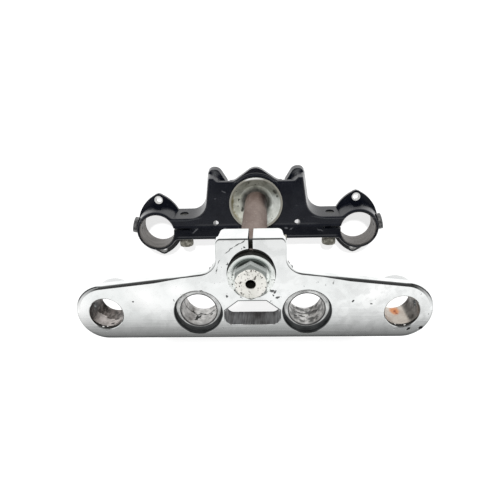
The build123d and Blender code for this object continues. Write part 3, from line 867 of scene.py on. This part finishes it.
# %% Spots and rim of the shield
black_spots = any_of(
    tree,
    mark(tree, torn, (-20.0, 4.0, 1.0), (1.6, 1.8, 4)),
    mark(tree, torn, (-16.0, -8.0, 1.0), (2.2, 4.0, 4)),
    mark(tree, torn, (21.5, 13.0, 5.0), (3.2, 3.6, 5), 0, 0.7),
    mark(tree, torn, (24.5, 8.0, 6.0), (1.8, 2.4, 5), 0, 0.7),
    cloud(tree, at, 230, 0.64, 0.68),
)
aged = tint(tree, black_spots, aged, (0.06, 0.06, 0.05))
rim = rising(tree, height, 0.0066, 0.0072)
rim_light = mark(tree, at, (-3.0, 31.0, 7.5), (15, 6, 4), 0, 0.6)
rim_colour = tint(tree, rim_light, (0.30, 0.292, 0.25), (0.86, 0.87, 0.85))
put(tree, tint(tree, rim, aged, rim_colour), plate.inputs["Base Color"])
plate.inputs["Metallic"].default_value = 0.35
put(tree, ranged(tree, stains, 0, 1, 0.3, 0.5), plate.inputs["Roughness"])
relief(tree, plate, (stains, 0.00003), (black_spots, -0.00006))
print("shield finish has", len(tree.nodes), "nodes")

# %% [markdown]
# ## Stem bolt and washer
# Both are pale plated steel with many small pits. One finish serves the two, and height tells them apart:
# the bolt begins where the washer ends. The flats of the hexagon stand in shade, darker near the top.

# %% Pale pitted zinc
pale, tree, plate = new_finish("pale_zinc")
at = spot(tree)
radius = off_axis(tree, at, stem_spot)
_, along, height = axes_of(tree, at)
washer_top, washer_end, hex_top = 0.1986, 0.1990, 0.2108
pin_holes = cloud(tree, at, 560, 0.575, 0.64)
bloom = cloud(tree, at, 130, 0.4, 0.65)
washer = falling(tree, height, washer_top, washer_end)
hex_level = band(tree, height, washer_top, washer_end, hex_top, hex_top + 0.0004)
flats = all_of(tree, hex_level, rising(tree, radius, 0.0112, 0.0116))
flats_tone = tint(tree, rising(tree, height, 0.2050, 0.2062), (0.42, 0.445, 0.43), (0.20, 0.215, 0.205))
skin = tint(tree, bloom, (0.78, 0.77, 0.725), (0.66, 0.66, 0.61))
skin = tint(tree, washer, skin, tint(tree, bloom, (0.86, 0.885, 0.86), (0.72, 0.745, 0.72)))
skin = tint(tree, pin_holes, skin, (0.07, 0.065, 0.055))
skin = tint(tree, flats, skin, flats_tone)
print("pale zinc takes", len(tree.nodes), "nodes")

# %% [markdown]
# The washer is dished, so its rear half falls into shade towards the bolt. The gap round it and its outer
# wall are painted black as shade. The bolt has a hole through it, and painted shade makes the hole a black
# dot.

# %% Painted shade on the washer and in the bolt's hole
dish_tone = tint(tree, rising(tree, radius, 0.0128, 0.0152), (0.03, 0.036, 0.033), (0.20, 0.228, 0.213))
dish_tone = tint(tree, rising(tree, radius, 0.0158, 0.0170), dish_tone, (0.66, 0.69, 0.665))
skin = tint(tree, all_of(tree, washer, rising(tree, along, 0.001, 0.009)), skin, dish_tone)
# Painted shade in the gap round the washer, on its outer wall
gap_limit = ranged(tree, along, 0.004, 0.016, 0.0187, 0.0183)
past_gap_limit = join(tree, "SUBTRACT", radius, gap_limit)
low_or_rear = any_of(tree, falling(tree, height, 0.1936, 0.1968), rising(tree, along, 0.003, 0.006))
washer_gap_shade = all_of(tree, washer, rising(tree, past_gap_limit, 0.0, 0.0002), low_or_rear)
# Painted shade in the mouth of the hole through the bolt
bolt_hole_shade = all_of(tree, inside(tree, at, stem_spot, 0.0042), falling(tree, height, hex_top - 0.0008, hex_top))
skin = tint(tree, any_of(tree, washer_gap_shade, bolt_hole_shade), skin, (0.014, 0.014, 0.012))
put(tree, skin, plate.inputs["Base Color"])
plate.inputs["Metallic"].default_value = 0.2
put(tree, ranged(tree, bloom, 0, 1, 0.3, 0.48), plate.inputs["Roughness"])
relief(tree, plate, (pin_holes, -0.00012), (bloom, 0.00002))
print("bolt and washer finish has", len(tree.nodes), "nodes")

# %% [markdown]
# ## Screws
# The pinch screws and their washers are dull olive, the side screws dark. Both are the same worn plate in
# two tones, so one function makes them. Painted shade blackens the screw in the slot of the stem boss, and
# the ends of the lower pinch screws are black.

# %% Dull screws
pinch_x, pinch_z = 0.0885, -0.0165


def dull_finish(name, dark, light):
    """A worn plated finish between two tones, with painted shade in the slot and black screw ends."""
    finish, tree, plate = new_finish(name)
    at = spot(tree)
    pair = mirrored(tree, at)
    wear = cloud(tree, at, 300, 0.45, 0.65)
    dust = cloud(tree, at, 1100, 0.5, 0.7)
    in_slot = falling(tree, axes_of(tree, pair)[0], 0.003, 0.004)
    screw_end = mark(tree, pair, (1000 * pinch_x, -14.0, 1000 * pinch_z), (9, 12, 9), 0, 0.2)
    worn = tint(tree, wear, dark, light)
    # Painted shade on the screw in the slot, and black ends on the lower pinch screws
    slot_shade_and_black_ends = tint(tree, any_of(tree, in_slot, screw_end), worn, (0.012, 0.012, 0.01))
    put(tree, slot_shade_and_black_ends, plate.inputs["Base Color"])
    plate.inputs["Metallic"].default_value = 0.4
    put(tree, ranged(tree, wear, 0, 1, 0.36, 0.55), plate.inputs["Roughness"])
    relief(tree, plate, (wear, 0.00003), (dust, 0.00002))
    return finish


olive_zinc = dull_finish("dull_zinc", (0.12, 0.115, 0.095), (0.36, 0.35, 0.30))
dark_steel = dull_finish("dark_steel", (0.07, 0.07, 0.072), (0.22, 0.22, 0.215))
print("screw finishes", olive_zinc.name, dark_steel.name)

# %% [markdown]
# ## Knurled heads
# The heads of the pinch screws are knurled, so that fingers can start them. On the lathe a wheel presses the
# grooves in. A bump would leave the outline smooth, so each ridge is a thin wedge along the screw, set on
# the plain head of the solid, thirty-two round each head.

# %% Knurled heads
head_radius, head_back, head_front, ridge_count = 0.008, -0.0502, -0.0580, 32
ridge_root, ridge_crest = head_radius - 0.0001, head_radius + 0.0004
ridge_half = 0.8 * math.pi / ridge_count


def add_ridge(grid, centre_x, turn):
    """One wedge from the back to the front of a head."""
    outline = [(turn - ridge_half, ridge_root), (turn, ridge_crest), (turn + ridge_half, ridge_root)]
    back, front = [
        [grid.verts.new((centre_x + r * math.cos(a), y, pinch_z + r * math.sin(a))) for a, r in outline]
        for y in (head_back, head_front)
    ]
    grid.faces.new(back)
    grid.faces.new(front[::-1])
    for first in range(3):
        second = (first + 1) % 3
        grid.faces.new((back[second], back[first], front[first], front[second]))


def knurl(name, centre_x, finish):
    """Ridges round one screw head that points to the front."""
    grid = bmesh.new()
    for number in range(ridge_count):
        add_ridge(grid, centre_x, 2 * math.pi * number / ridge_count)
    bmesh.ops.recalc_face_normals(grid, faces=grid.faces)
    mesh = bpy.data.meshes.new(name)
    grid.to_mesh(mesh)
    grid.free()
    mesh.materials.append(finish)
    piece = bpy.data.objects.new(name, mesh)
    bpy.context.scene.collection.objects.link(piece)
    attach(piece, "root")
    return piece


knurls = [knurl("left_knurl", -pinch_x, olive_zinc), knurl("right_knurl", pinch_x, olive_zinc)]
faces_per_ridge = 5
print("ridges", sum(len(piece.data.polygons) for piece in knurls) // faces_per_ridge)

# %% [markdown]
# ## Hand the finishes out
# Each solid keeps its own mesh and takes one finish. The small screws come in pairs, left and right.

# %% Hand the finishes out
finish_of = {
    "upper_clamp": polish,
    "lower_clamp": black_paint,
    "steering_stem": rust,
    "dust_shield": zinc,
    "stem_washer": pale,
    "stem_bolt": pale,
    "upper_pinch_bolt": olive_zinc,
}
for which in ("left", "right"):
    finish_of[f"{which}_pinch_bolt"] = olive_zinc
    finish_of[f"{which}_pinch_washer"] = olive_zinc
    finish_of[f"{which}_side_screw"] = dark_steel
for name, finish in finish_of.items():
    nodes[name].data.materials.clear()
    nodes[name].data.materials.append(finish)
print("finishes", len(set(finish_of.values())), "on", len(finish_of), "pieces")

# %% [markdown]
# The last cell ends the script.

# %% End
print("done")
